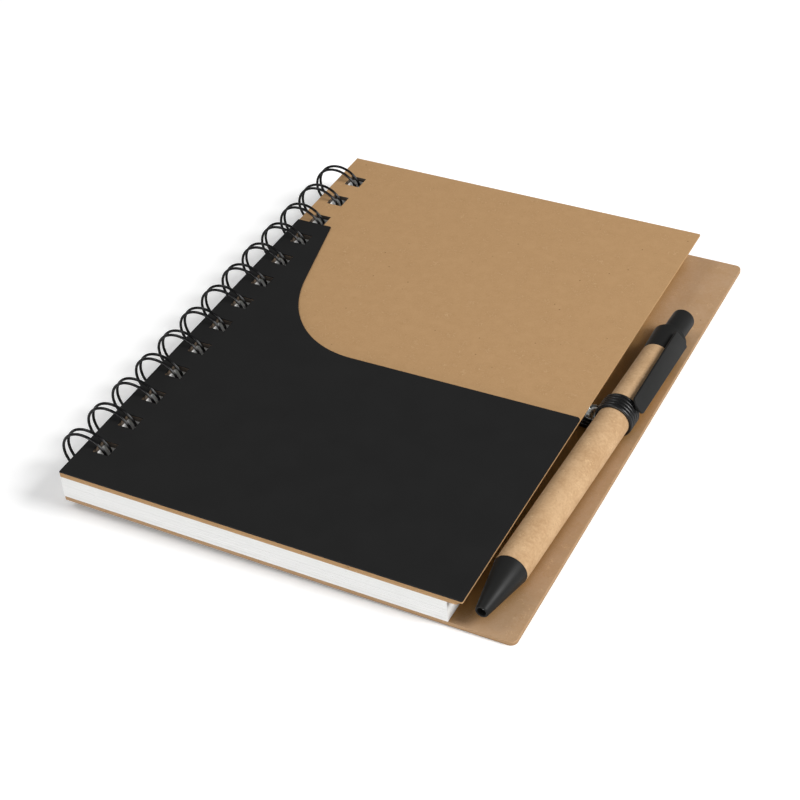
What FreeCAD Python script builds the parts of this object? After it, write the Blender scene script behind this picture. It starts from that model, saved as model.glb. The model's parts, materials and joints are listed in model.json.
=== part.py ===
"""Wire-bound notebook with a pen held in an elastic loop. All sizes are in millimetres.

The book lies closed on its back cover. While it is drawn, X runs from the spine edge towards
the fore-edge, Y along the spine, and Z = 0 is the top of the black card panel. When a piece
is written out it is moved so that the origin is the middle of the whole object's lowest plane.
"""
import FreeCAD
import Part

import math
import os

# Covers and pages
book_height = 180.0
front_cover_width = 126.5
page_inset = 4.5
pen_strip_width = 14.5
panel_thickness = 0.5
front_board_thickness = 1.6
page_stack_thickness = 7.4
back_board_thickness = 1.4
front_corner_radius = 1.0
back_corner_radius = 2.0

# Curved cut of the black card panel, seen from above
panel_top = 137.9
panel_neck_width = 12.5
panel_slant_degrees = 12.65
panel_shelf_inner = 77.3
panel_shelf_outer = 79.1
panel_sweep_along_slant = 31.7
panel_sweep_along_shelf = 26.2
panel_sweep_fullness = 0.6
panel_corner_radius = 1.2

# Binding holes and the twin-loop wire
hole_count = 13
hole_pitch = 12.7
hole_size = 5.5
hole_from_spine = 3.84
wire_diameter = 1.0
pair_spacing = 2.4
wire_slide = 0.3
ring_overhang = 0.45
ring_lift = 0.5
web_clearance = 0.12
seam_degrees = -68.0
seam_bend_radius = 1.0
seam_gap = 0.25
wire_stub = 1.5

# Pen, measured along its axis from the tip
pen_diameter = 9.84
pen_yaw_degrees = 1.965
pen_near_end = 1.7
pen_gap = 0.13
nose_length = 17.1
nose_tip_radius = 1.85
nose_hole_radius = 1.25
nose_round_share = 0.8
nose_shoulder = 10.3
barrel_length = 100.0
barrel_wall = 1.0
spigot_length = 8.0
spigot_clearance = 0.04
nose_bore_radius = 2.6
collar_length = 9.9
collar_top_radius = 5.4
collar_rim_bevel = 0.4
collar_floor = 0.5
cap_spigot_length = 9.8
stem_bore_radius = 2.6
slide_clearance = 0.15
button_radius = 3.6
button_clearance = 0.25
button_standout = 10.8
button_round = 0.9
button_seat_gap = 0.3
click_travel = 4.5
end_play = 0.1

# Clip
clip_degrees = 61.0
clip_width = 6.35
clip_thickness = 1.2
clip_lift = 6.0
clip_length = 38.8
clip_slope_length = 3.7
clip_top_width = 4.8
clip_end_radius = 1.9
clip_bridge_width = 4.6
clip_bridge_length = 9.0
clip_edge_round = 0.3

# Refill and spring
refill_radius = 1.5
refill_bore_radius = 1.05
refill_collar_radius = 2.2
refill_collar_length = 1.2
refill_collar_from_tip = 24.3
refill_recess = 1.3
writing_tip_radius = 1.15
writing_cone_length = 3.7
writing_nose_radius = 0.5
writing_plug_length = 5.0
ball_radius = 0.38
ball_seat_clearance = 0.02
cam_radius = 3.3
cam_length = 5.0
cam_socket_depth = 4.0
spring_wire_diameter = 0.4
spring_wire_sides = 12
spring_mean_radius = 1.85
spring_turns = 9
contact_gap = 0.05

# Elastic loop and its rivet
band_width = 6.1
band_thickness = 0.9
clip_over_band = 1.5
band_clearance = 0.03
band_blend_radius = 2.0
tail_gap = 0.5
tail_spread = 3.2
tail_flare = 0.5
tail_inset = 0.2
rivet_head_radius = 3.4
rivet_dome_radius = 2.5
rivet_dome_height = 1.3
rivet_rim_height = 0.7
rivet_groove_depth = 0.35
rivet_rim_width = 0.6
rivet_post_radius = 1.6
rivet_hole_clearance = 0.05
rivet_foot_radius = 2.8
rivet_foot_height = 0.35
rivet_shift = 2.65

# A turned edge is rounded by two bevels, with their shared corner this far in
bevel_share = 0.3

# Points closer than this are one place
same_place = 0.01

# Widths and heights that follow from the layers
page_width = front_cover_width - page_inset
back_cover_width = front_cover_width + pen_strip_width
panel_bottom = -panel_thickness
front_bottom = panel_bottom - front_board_thickness
pages_bottom = front_bottom - page_stack_thickness
back_bottom = pages_bottom - back_board_thickness

# The ring's centre, and a radius that clears the back cover's web between hole and spine
wire_radius = wire_diameter / 2
ring_x = -ring_overhang
ring_z = back_bottom / 2 + ring_lift
web_reach = math.hypot(hole_from_spine - ring_x, ring_z - back_bottom)
ring_radius = web_reach + web_clearance + wire_radius
ring_reach = ring_radius + wire_radius
first_hole = (book_height - (hole_count - 1) * hole_pitch) / 2

# The pen's axis and stations
barrel_radius = pen_diameter / 2
barrel_bore_radius = barrel_radius - barrel_wall
spigot_radius = barrel_bore_radius - spigot_clearance
barrel_end = nose_length + barrel_length
collar_end = barrel_end + collar_length
clip_tip = collar_end - clip_length
band_from_tip = clip_tip + clip_over_band - band_width
button_end = collar_end + button_standout
pen_yaw = math.radians(pen_yaw_degrees)
pen_z = pages_bottom + band_thickness + band_clearance + barrel_radius
pen_x = front_cover_width + pen_gap + barrel_radius - nose_length * math.sin(pen_yaw)

# The rivet stands between the pages and the pen, at the band's far half
rivet_x = page_width + tail_gap + rivet_head_radius
band_middle = band_from_tip + band_width / 2
rivet_y = pen_near_end + band_middle * math.cos(pen_yaw) + rivet_shift
tail_top = pages_bottom + 2 * band_thickness

# The origin of the finished part, between the wire and the clip's outermost corner
clip_turn = math.radians(clip_degrees)
clip_face = clip_lift + clip_thickness
clip_reach = clip_face * math.sin(clip_turn) + clip_width / 2 * math.cos(clip_turn)
clip_corner_x = (pen_x + (collar_end - clip_slope_length) * math.sin(pen_yaw)
                 + clip_reach * math.cos(pen_yaw))
overall_left = ring_x - ring_reach
overall_right = max(back_cover_width, clip_corner_x)
origin = FreeCAD.Vector((overall_left + overall_right) / 2, book_height / 2, ring_z - ring_reach)

X_AXIS = FreeCAD.Vector(1, 0, 0)
Y_AXIS = FreeCAD.Vector(0, 1, 0)
Z_AXIS = FreeCAD.Vector(0, 0, 1)
ZERO = FreeCAD.Vector(0, 0, 0)


def point(x, y, z):
    return FreeCAD.Vector(x, y, z)


def line(start, end):
    return Part.LineSegment(start, end).toShape()


def arc(start, middle, end):
    return Part.Arc(start, middle, end).toShape()


def cylinder(radius, start, end):
    """A cylinder along +Y between two stations."""
    return Part.makeCylinder(radius, end - start, point(0, start, 0), Y_AXIS)


def turned(profile):
    """A body of revolution about the Y axis from (station, radius) corners."""
    corners = [point(radius, station, 0) for station, radius in profile]
    face = Part.Face(Part.makePolygon(corners + corners[:1]))
    return face.revolve(ZERO, Y_AXIS, 360)


def on_pen(shape):
    """Move a shape that was drawn along +Y from the pen's tip to its place on the book."""
    shape.rotate(ZERO, Z_AXIS, -pen_yaw_degrees)
    shape.translate(point(pen_x, pen_near_end, pen_z))
    return shape


def round_corner(sheet, corner, radius):
    """Round the upright edge of a sheet at one corner of its outline."""
    upright = []
    for edge in sheet.Edges:
        middle = edge.CenterOfMass
        away = math.hypot(middle.x - corner.x, middle.y - corner.y)
        if away < same_place:
            upright.append(edge)
    return sheet.makeFillet(radius, upright)


def binding_holes(bottom, top):
    """The row of square holes as one tool that passes through a layer."""
    depth = top - bottom
    tools = [
        Part.makeBox(hole_size, hole_size, 3 * depth, point(
            hole_from_spine,
            first_hole + number * hole_pitch - hole_size / 2,
            bottom - depth))
        for number in range(hole_count)
    ]
    return Part.makeCompound(tools)


def sheet_layer(width, bottom, top, corner_radius=0.0):
    """One layer of the book, with its binding holes."""
    sheet = Part.makeBox(width, book_height, top - bottom, point(0, 0, bottom))
    if corner_radius:
        for y in (0, book_height):
            sheet = round_corner(sheet, point(width, y, 0), corner_radius)
    return sheet.cut(binding_holes(bottom, top))


def make_front_cover():
    return sheet_layer(front_cover_width, front_bottom, panel_bottom, front_corner_radius)


def make_page_block():
    return sheet_layer(page_width, pages_bottom, front_bottom)


def make_back_cover():
    sheet = sheet_layer(back_cover_width, back_bottom, pages_bottom, back_corner_radius)
    rivet_hole = Part.makeCylinder(
        rivet_post_radius + rivet_hole_clearance, 3 * back_board_thickness,
        point(rivet_x, rivet_y, back_bottom - back_board_thickness))
    return sheet.cut(rivet_hole)


def make_cover_panel():
    """The black card: straight at spine, foot and fore-edge, and cut to a long curve above."""
    slant = math.radians(panel_slant_degrees)
    down_slant = point(math.sin(slant), -math.cos(slant), 0)
    rise = (panel_shelf_outer - panel_shelf_inner) / front_cover_width
    along_shelf = point(1, rise, 0).normalize()
    neck = point(panel_neck_width, panel_top, 0)
    # Where the slanted edge, drawn on, would meet the shelf edge
    neck_drop = panel_shelf_inner + rise * panel_neck_width - panel_top
    reach = neck_drop / (down_slant.y - rise * down_slant.x)
    meeting = neck + down_slant * reach
    sweep_start = meeting - down_slant * panel_sweep_along_slant
    sweep_end = meeting + along_shelf * panel_sweep_along_shelf
    sweep = Part.BezierCurve()
    sweep.setPoles([
        sweep_start,
        sweep_start + down_slant * (panel_sweep_along_slant * panel_sweep_fullness),
        sweep_end - along_shelf * (panel_sweep_along_shelf * panel_sweep_fullness),
        sweep_end])
    shelf_corner = point(front_cover_width, panel_shelf_outer, 0)
    foot_corner = point(front_cover_width, 0, 0)
    outline = Part.Wire([
        line(ZERO, point(0, panel_top, 0)),
        line(point(0, panel_top, 0), neck),
        line(neck, sweep_start),
        sweep.toShape(),
        line(sweep_end, shelf_corner),
        line(shelf_corner, foot_corner),
        line(foot_corner, ZERO)])
    panel = Part.Face(outline).extrude(point(0, 0, panel_thickness))
    panel.translate(point(0, 0, panel_bottom))
    panel = round_corner(panel, shelf_corner, panel_corner_radius)
    panel = round_corner(panel, foot_corner, front_corner_radius)
    return panel.cut(binding_holes(panel_bottom, 0))


def on_ring(angle, y):
    """A point on the ring's centre line. Angles open from +X towards +Z."""
    return point(ring_x + ring_radius * math.cos(angle), y, ring_z + ring_radius * math.sin(angle))


def along_ring(angle):
    return point(-math.sin(angle), 0, math.cos(angle))


def quarter_bend(corner, before, after, radius):
    """A bend of the given radius round a corner between two square directions."""
    start = corner - before * radius
    end = corner + after * radius
    centre = start + after * radius
    middle = centre + (corner - centre).normalize() * radius
    return arc(start, middle, end)


def make_wire_binding():
    """One wire: each finger runs round the ring and back, and bars join the fingers' roots."""
    root_angle = math.radians(seam_degrees)
    leave_angle = root_angle - seam_bend_radius / ring_radius
    tip_radius = pair_spacing / 2
    tip_angle = root_angle + (wire_diameter + seam_gap + tip_radius) / ring_radius
    half_turn = (leave_angle + tip_angle - 2 * math.pi) / 2
    out = along_ring(leave_angle) * -1
    leave_point = on_ring(leave_angle, 0) - out * seam_bend_radius
    leave_x, leave_z = leave_point.x, leave_point.z
    tip_turn = tip_angle - 2 * math.pi
    bend = Y_AXIS * seam_bend_radius
    reach_back = Y_AXIS * (tip_radius + seam_bend_radius + wire_stub)
    previous_end = point(leave_x, first_hole + wire_slide, leave_z) - reach_back
    edges = []
    for number in range(hole_count):
        middle_y = first_hole + number * hole_pitch + wire_slide
        near_y = middle_y - tip_radius
        far_y = middle_y + tip_radius
        near_corner = point(leave_x, near_y, leave_z)
        far_corner = point(leave_x, far_y, leave_z)
        edges.append(line(previous_end, near_corner - bend))
        edges.append(quarter_bend(near_corner, Y_AXIS, out, seam_bend_radius))
        edges.append(arc(on_ring(leave_angle, near_y), on_ring(half_turn, near_y),
                         on_ring(tip_turn, near_y)))
        beyond = on_ring(tip_turn, middle_y) - along_ring(tip_turn) * tip_radius
        edges.append(arc(on_ring(tip_turn, near_y), beyond, on_ring(tip_turn, far_y)))
        edges.append(arc(on_ring(tip_turn, far_y), on_ring(half_turn, far_y),
                         on_ring(leave_angle, far_y)))
        edges.append(quarter_bend(far_corner, out * -1, Y_AXIS, seam_bend_radius))
        previous_end = far_corner + bend
    edges.append(line(previous_end, previous_end + Y_AXIS * wire_stub))
    path = Part.Wire(edges)
    section = Part.Wire(Part.makeCircle(wire_radius, path.Vertexes[0].Point, Y_AXIS))
    return path.makePipeShell([section], True, False)


def make_pen_loop():
    """The elastic: a ring round the barrel, with its two ends lying flat under the rivet."""
    inner = barrel_radius + band_clearance
    outer = inner + band_thickness
    shelf = -outer + 2 * band_thickness
    blend_height = shelf + band_blend_radius
    blend_reach = outer + band_blend_radius
    blend_x = -math.sqrt(blend_reach ** 2 - blend_height ** 2)
    on_circle = point(blend_x, 0, blend_height) * (outer / blend_reach)
    on_shelf = point(blend_x, 0, shelf)
    blend_centre = point(blend_x, 0, blend_height)
    toward_corner = ((on_circle - blend_centre) + (on_shelf - blend_centre)).normalize()
    blend_middle = blend_centre + toward_corner * band_blend_radius
    foot = point(0, 0, -outer)
    tail_end = blend_x - band_thickness
    outline = Part.Wire([
        line(point(tail_end, 0, -outer), foot),
        arc(foot, point(outer, 0, 0), point(0, 0, outer)),
        arc(point(0, 0, outer), point(-outer, 0, 0), on_circle),
        arc(on_circle, blend_middle, on_shelf),
        line(on_shelf, point(tail_end, 0, shelf)),
        line(point(tail_end, 0, shelf), point(tail_end, 0, -outer))])
    band = Part.Face(outline).extrude(point(0, band_width, 0))
    band.translate(point(0, band_from_tip, 0))
    band = on_pen(band.cut(cylinder(inner, 0, barrel_end)))

    near_y = pen_near_end + band_from_tip * math.cos(pen_yaw)
    far_y = near_y + band_width * math.cos(pen_yaw)
    left = page_width + tail_gap
    right = pen_x + band_middle * math.sin(pen_yaw) + blend_x - band_thickness / 2
    flat = Part.makePolygon([
        point(left, near_y - tail_flare, pages_bottom),
        point(right, near_y + tail_inset, pages_bottom),
        point(right, far_y - tail_inset, pages_bottom),
        point(rivet_x + rivet_post_radius, rivet_y + tail_spread, pages_bottom),
        point(left, rivet_y + tail_spread, pages_bottom),
        point(left, near_y - tail_flare, pages_bottom)])
    tail = Part.Face(flat).extrude(point(0, 0, 2 * band_thickness))
    post_hole = Part.makeCylinder(
        rivet_post_radius + rivet_hole_clearance, 4 * band_thickness,
        point(rivet_x, rivet_y, pages_bottom - band_thickness))
    # The rivet's head presses the band flat where it starts to rise round the pen
    head_seat = Part.makeCylinder(
        rivet_head_radius + rivet_hole_clearance, 2 * outer, point(rivet_x, rivet_y, tail_top))
    return band.fuse(tail).cut(post_hole).cut(head_seat).removeSplitter()


def make_loop_rivet():
    """A domed rivet: rim, groove and dome above, a post through tail and cover, a foot below."""
    seat = tail_top
    foot_top = back_bottom
    rim_outer = rivet_head_radius
    rim_inner = rim_outer - rivet_rim_width
    rim_top = seat + rivet_rim_height
    groove = seat + rivet_groove_depth
    dome_top = seat + rivet_dome_height
    dome_rise = dome_top - groove
    dome_ball = (rivet_dome_radius ** 2 + dome_rise ** 2) / (2 * dome_rise)
    half_angle = math.asin(rivet_dome_radius / dome_ball) / 2
    dome_middle = point(dome_ball * math.sin(half_angle), 0,
                        dome_top - dome_ball + dome_ball * math.cos(half_angle))
    rim_middle = (rim_outer + rim_inner) / 2
    outline = Part.Wire([
        line(point(0, 0, dome_top), point(0, 0, foot_top - rivet_foot_height)),
        line(point(0, 0, foot_top - rivet_foot_height),
             point(rivet_foot_radius, 0, foot_top - rivet_foot_height)),
        line(point(rivet_foot_radius, 0, foot_top - rivet_foot_height),
             point(rivet_foot_radius, 0, foot_top)),
        line(point(rivet_foot_radius, 0, foot_top), point(rivet_post_radius, 0, foot_top)),
        line(point(rivet_post_radius, 0, foot_top), point(rivet_post_radius, 0, seat)),
        line(point(rivet_post_radius, 0, seat), point(rim_outer, 0, seat)),
        line(point(rim_outer, 0, seat), point(rim_outer, 0, groove)),
        arc(point(rim_outer, 0, groove), point(rim_middle, 0, rim_top), point(rim_inner, 0, groove)),
        line(point(rim_inner, 0, groove), point(rivet_dome_radius, 0, groove)),
        arc(point(rivet_dome_radius, 0, groove), dome_middle, point(0, 0, dome_top))])
    rivet = Part.Face(outline).revolve(ZERO, Z_AXIS, 360)
    rivet.translate(point(rivet_x, rivet_y, 0))
    return rivet


def make_pen_barrel():
    tube = cylinder(barrel_radius, nose_length, barrel_end)
    return on_pen(tube.cut(cylinder(barrel_bore_radius, 0, button_end)))


def make_pen_nose_cone():
    """A plain cone with a rounded tip, a spigot for the tube and a bore for the refill."""
    tip_round = (nose_tip_radius - nose_hole_radius) * nose_round_share
    spigot_end = nose_length + spigot_length
    cone = turned([
        (0, nose_hole_radius),
        (0, nose_tip_radius - tip_round),
        (tip_round * bevel_share, nose_tip_radius - tip_round * bevel_share),
        (tip_round, nose_tip_radius),
        (nose_length, barrel_radius),
        (nose_length, spigot_radius),
        (spigot_end, spigot_radius),
        (spigot_end, nose_bore_radius),
        (nose_shoulder, nose_bore_radius),
        (nose_shoulder, nose_hole_radius)])
    return on_pen(cone)


def make_clip():
    """The clip on top of the collar, before it is turned about the pen's axis."""
    half = clip_width / 2
    end_start = clip_tip + clip_end_radius
    slope_start = collar_end - clip_slope_length
    outer = clip_face
    plan = Part.Wire([
        line(point(-half, end_start, 0), point(-half, slope_start, 0)),
        line(point(-half, slope_start, 0), point(-clip_top_width / 2, collar_end, 0)),
        line(point(-clip_top_width / 2, collar_end, 0), point(clip_top_width / 2, collar_end, 0)),
        line(point(clip_top_width / 2, collar_end, 0), point(half, slope_start, 0)),
        line(point(half, slope_start, 0), point(half, end_start, 0)),
        arc(point(half, end_start, 0), point(0, clip_tip, 0), point(-half, end_start, 0))])
    plate = Part.Face(plan).extrude(point(0, 0, clip_thickness))
    plate.translate(point(0, 0, clip_lift))
    rim = [edge for edge in plate.Edges if edge.BoundBox.ZMin > outer - same_place]
    plate = plate.makeFillet(clip_edge_round, rim)
    wall_middle = (button_radius + button_clearance + barrel_radius) / 2
    bridge = Part.makeBox(
        clip_bridge_width, clip_bridge_length, clip_lift + clip_thickness / 2 - wall_middle,
        point(-clip_bridge_width / 2, collar_end - clip_bridge_length, wall_middle))
    # The slope leads from the plate's face down to the collar's rim
    drop = outer - collar_top_radius
    wedge = Part.Face(Part.makePolygon([
        point(-half, slope_start, outer),
        point(-half, collar_end, outer - drop),
        point(-half, collar_end + drop, outer - drop),
        point(-half, collar_end + drop, outer + drop),
        point(-half, slope_start, outer + drop),
        point(-half, slope_start, outer)])).extrude(X_AXIS * clip_width)
    clip = plate.fuse(bridge).cut(wedge)
    clip.rotate(ZERO, Y_AXIS, clip_degrees)
    return clip


def make_pen_clip_cap():
    """Collar, spigot and clip, moulded as one."""
    bore = button_radius + button_clearance
    spigot_start = barrel_end - cap_spigot_length
    floor = barrel_end + collar_floor
    collar = turned([
        (spigot_start, stem_bore_radius),
        (spigot_start, spigot_radius),
        (barrel_end, spigot_radius),
        (barrel_end, barrel_radius + spigot_clearance),
        (collar_end - collar_rim_bevel, collar_top_radius),
        (collar_end, collar_top_radius - collar_rim_bevel),
        (collar_end, bore),
        (floor, bore),
        (floor, stem_bore_radius)])
    clip = make_clip()
    return on_pen(collar.fuse(clip).removeSplitter())


def make_pen_push_button():
    """The button's wide cap and the stem that reaches down to the cam."""
    stem_end = barrel_end - cap_spigot_length - end_play + contact_gap
    cap_start = barrel_end + collar_floor + click_travel + button_seat_gap
    inset = button_round * bevel_share
    cap = turned([
        (stem_end, 0),
        (stem_end, stem_bore_radius - slide_clearance),
        (cap_start, stem_bore_radius - slide_clearance),
        (cap_start, button_radius),
        (button_end - button_round, button_radius),
        (button_end - inset, button_radius - inset),
        (button_end, button_radius - button_round),
        (button_end, 0)])
    return on_pen(cap)


def make_pen_cam():
    """The cam under the stem, stopped by the cap's spigot, with a socket for the refill."""
    top = barrel_end - cap_spigot_length - end_play
    bottom = top - cam_length
    cam = cylinder(cam_radius, bottom, top)
    socket = cylinder(refill_radius + contact_gap, bottom - cam_length, bottom + cam_socket_depth)
    return on_pen(cam.cut(socket))


def make_refill_tube():
    """The ink tube, with the collar that the spring pushes on."""
    start = refill_collar_from_tip
    cam_bottom = barrel_end - cap_spigot_length - end_play - cam_length
    end = cam_bottom + cam_socket_depth - contact_gap
    tube = turned([
        (start, refill_bore_radius),
        (start, refill_collar_radius),
        (start + refill_collar_length, refill_collar_radius),
        (start + refill_collar_length, refill_radius),
        (end, refill_radius),
        (end, refill_bore_radius)])
    return on_pen(tube)


def make_refill_tip():
    """The brass tip: a plug in the tube, a shank and a cone with the ball's seat."""
    shoulder = refill_collar_from_tip - contact_gap
    nose = refill_recess
    plug = refill_bore_radius - contact_gap / 2
    tip = turned([
        (nose, 0),
        (nose, writing_nose_radius),
        (nose + writing_cone_length, writing_tip_radius),
        (shoulder, writing_tip_radius),
        (shoulder, plug),
        (shoulder + writing_plug_length, plug),
        (shoulder + writing_plug_length, 0)])
    seat = Part.makeSphere(ball_radius + ball_seat_clearance, point(0, nose, 0))
    return on_pen(tip.cut(seat))


def make_refill_ball():
    return on_pen(Part.makeSphere(ball_radius, point(0, refill_recess, 0)))


def make_pen_spring():
    """The return spring between the nose cone's shoulder and the refill's collar."""
    wire = spring_wire_diameter / 2
    start = nose_shoulder + contact_gap + wire
    length = refill_collar_from_tip - contact_gap - wire - start
    coil = Part.makeHelix(length / spring_turns, length, spring_mean_radius)
    corners = []
    for side in range(spring_wire_sides):
        turn = 2 * math.pi * side / spring_wire_sides
        corners.append(point(spring_mean_radius + wire * math.cos(turn), 0, wire * math.sin(turn)))
    section = Part.makePolygon(corners + corners[:1])
    spring = Part.Wire(coil).makePipeShell([section], True, True)
    spring.rotate(ZERO, X_AXIS, -90)
    spring.translate(point(0, start, 0))
    return on_pen(spring)


def write_out(name, shape):
    """Move a piece to the finished part's origin, test it and write its file."""
    piece = shape.copy()
    piece.translate(origin * -1)
    if not piece.isValid() or len(piece.Solids) != 1:
        raise ValueError(name + " is not one valid solid")
    piece = piece.Solids[0]
    piece.exportStep(os.path.join("parts", name + ".step"))
    print("%-16s %10.2f mm3" % (name, piece.Volume))


def main():
    os.makedirs("parts", exist_ok=True)
    pieces = {
        "front_cover": make_front_cover,
        "cover_panel": make_cover_panel,
        "page_block": make_page_block,
        "back_cover": make_back_cover,
        "wire_binding": make_wire_binding,
        "pen_loop": make_pen_loop,
        "loop_rivet": make_loop_rivet,
        "pen_barrel": make_pen_barrel,
        "pen_nose_cone": make_pen_nose_cone,
        "pen_clip_cap": make_pen_clip_cap,
        "pen_push_button": make_pen_push_button,
        "pen_cam": make_pen_cam,
        "refill_tube": make_refill_tube,
        "refill_tip": make_refill_tip,
        "refill_ball": make_refill_ball,
        "pen_spring": make_pen_spring,
    }
    for name, make in pieces.items():
        write_out(name, make())
    ring = point(ring_x, 0, ring_z) - origin
    print("ring centre x %.3f z %.3f, radius %.3f" % (ring.x, ring.z, ring_radius))
    print("back cover underside z %.3f" % (back_bottom - origin.z))


main()
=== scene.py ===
"""Finishes a wire-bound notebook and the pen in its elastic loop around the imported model.

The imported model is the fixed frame, in metres. The cam and the refill inside the pen keep their
own meshes and get a finish. The other pieces are made again here, each in the place of its node,
with soft edges, single leaves, ribs and rounded ends. Run it as a script in Blender 4.5.
"""
import json
import math
import random

import bmesh
import bpy
from bpy.props import FloatProperty, FloatVectorProperty, IntProperty, PointerProperty
from mathutils import Color, Matrix, Vector

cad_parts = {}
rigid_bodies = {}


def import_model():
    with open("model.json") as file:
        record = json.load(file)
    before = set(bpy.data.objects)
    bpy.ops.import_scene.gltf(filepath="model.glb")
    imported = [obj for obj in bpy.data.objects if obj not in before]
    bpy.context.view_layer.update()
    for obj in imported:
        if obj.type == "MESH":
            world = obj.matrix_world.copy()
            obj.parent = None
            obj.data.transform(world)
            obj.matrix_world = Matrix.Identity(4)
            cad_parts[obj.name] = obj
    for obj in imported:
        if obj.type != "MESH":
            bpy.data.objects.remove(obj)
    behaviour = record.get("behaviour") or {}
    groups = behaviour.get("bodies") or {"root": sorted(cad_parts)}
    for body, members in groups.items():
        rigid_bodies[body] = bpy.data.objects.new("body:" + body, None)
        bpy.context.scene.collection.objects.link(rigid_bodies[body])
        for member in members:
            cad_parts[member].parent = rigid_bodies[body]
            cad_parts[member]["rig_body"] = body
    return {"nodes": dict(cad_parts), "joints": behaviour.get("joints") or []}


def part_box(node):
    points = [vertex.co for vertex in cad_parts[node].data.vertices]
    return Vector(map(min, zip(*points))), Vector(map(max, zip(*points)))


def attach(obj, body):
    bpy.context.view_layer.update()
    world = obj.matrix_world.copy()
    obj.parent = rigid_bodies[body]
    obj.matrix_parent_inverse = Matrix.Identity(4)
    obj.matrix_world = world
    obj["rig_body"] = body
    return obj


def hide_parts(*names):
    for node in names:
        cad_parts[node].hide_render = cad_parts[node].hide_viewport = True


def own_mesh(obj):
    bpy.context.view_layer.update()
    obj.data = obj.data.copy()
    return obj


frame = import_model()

bl_info = {
    "name": "Notebook and Pen",
    "version": (1, 0, 0),
    "blender": (4, 5, 0),
    "location": "3D View > Sidebar > Notebook",
    "description": "Builds and finishes the visible pieces of a wire-bound notebook and its pen",
    "category": "Object",
}

Y_AXIS = Vector((0, 1, 0))
Z_AXIS = Vector((0, 0, 1))
ORIGIN = Vector((0, 0, 0))
WHITE = (1, 1, 1, 1)
MERGE_DISTANCE = 1e-6
LEVEL_NORMAL = 0.9999  # the upward share from which a face counts as level

# The pen's axis and its stations, read from the frame
click_joint = next(j for j in frame["joints"] if j["name"] == "pen_click_slide")
pen_way = -Vector(click_joint["axis"]).normalized()
pen_yaw = math.atan2(pen_way.x, pen_way.y)
barrel_low, barrel_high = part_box("pen_barrel")
barrel_middle = (barrel_low + barrel_high) / 2
barrel_radius = (barrel_high.z - barrel_low.z) / 2
barrel_width = barrel_high.x - barrel_low.x - 2 * barrel_radius * math.cos(pen_yaw)
barrel_length = barrel_width / math.sin(pen_yaw)

# Where the book lies: its floor touches the wire's lowest line and the back board's fore-edge
wire_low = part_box("wire_binding")[0]
board_low, board_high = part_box("back_cover")
ring_middle_x = next(j["pos_m"][0] for j in frame["joints"] if j["name"] == "pages_hinge")


def metres(name, description, default, low=0.0, high=0.3):
    """A length, or a station: a distance along the pen from its tip."""
    return FloatProperty(name=name, description=description, default=default,
                         min=low, max=high, unit="LENGTH")


def factor(name, description, default, low=0.0, high=1.0):
    return FloatProperty(name=name, description=description, default=default,
                         min=low, max=high, subtype="FACTOR")


def tint(name, description, default):
    return FloatVectorProperty(name=name, description=description, default=default,
                               min=0.0, max=1.0, subtype="COLOR_GAMMA")


class NotebookSizes(bpy.types.PropertyGroup):
    """Sizes that a user would change."""

    board_edge: metres("Board edge", "Softness of the boards' cut edges", 0.00013, 0.00001, 0.0005)
    card_edge: metres("Card edge", "Softness of the black card's cut edges", 0.00009, 0.00001, 0.0002)
    leaf_count: IntProperty(
        name="Leaves", description="Leaves that show at the edge of the pages",
        default=46, min=4, max=120)
    leaf_slip: metres("Leaf slip", "How far single leaves stand out or in", 0.00003, 0.0, 0.0003)
    band_width: metres("Elastic width", "Width of the elastic loop", 0.0061, 0.003, 0.012)
    band_thickness: metres(
        "Elastic thickness", "Thickness of the elastic, ribs included", 0.0009, 0.0004, 0.002)
    band_ribs: IntProperty(
        name="Elastic ribs", description="Rubber cords side by side in the elastic",
        default=5, min=2, max=16)
    band_station: metres(
        "Elastic station", "Distance of the elastic from the pen's tip", 0.0836, 0.02, 0.12)
    nose_length: metres("Nose length", "Length of the pen's nose cone", 0.0171, 0.008, 0.03)
    collar_start: metres(
        "Collar start", "Distance from the pen's tip where the collar starts", 0.1162, 0.1, 0.12)


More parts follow.
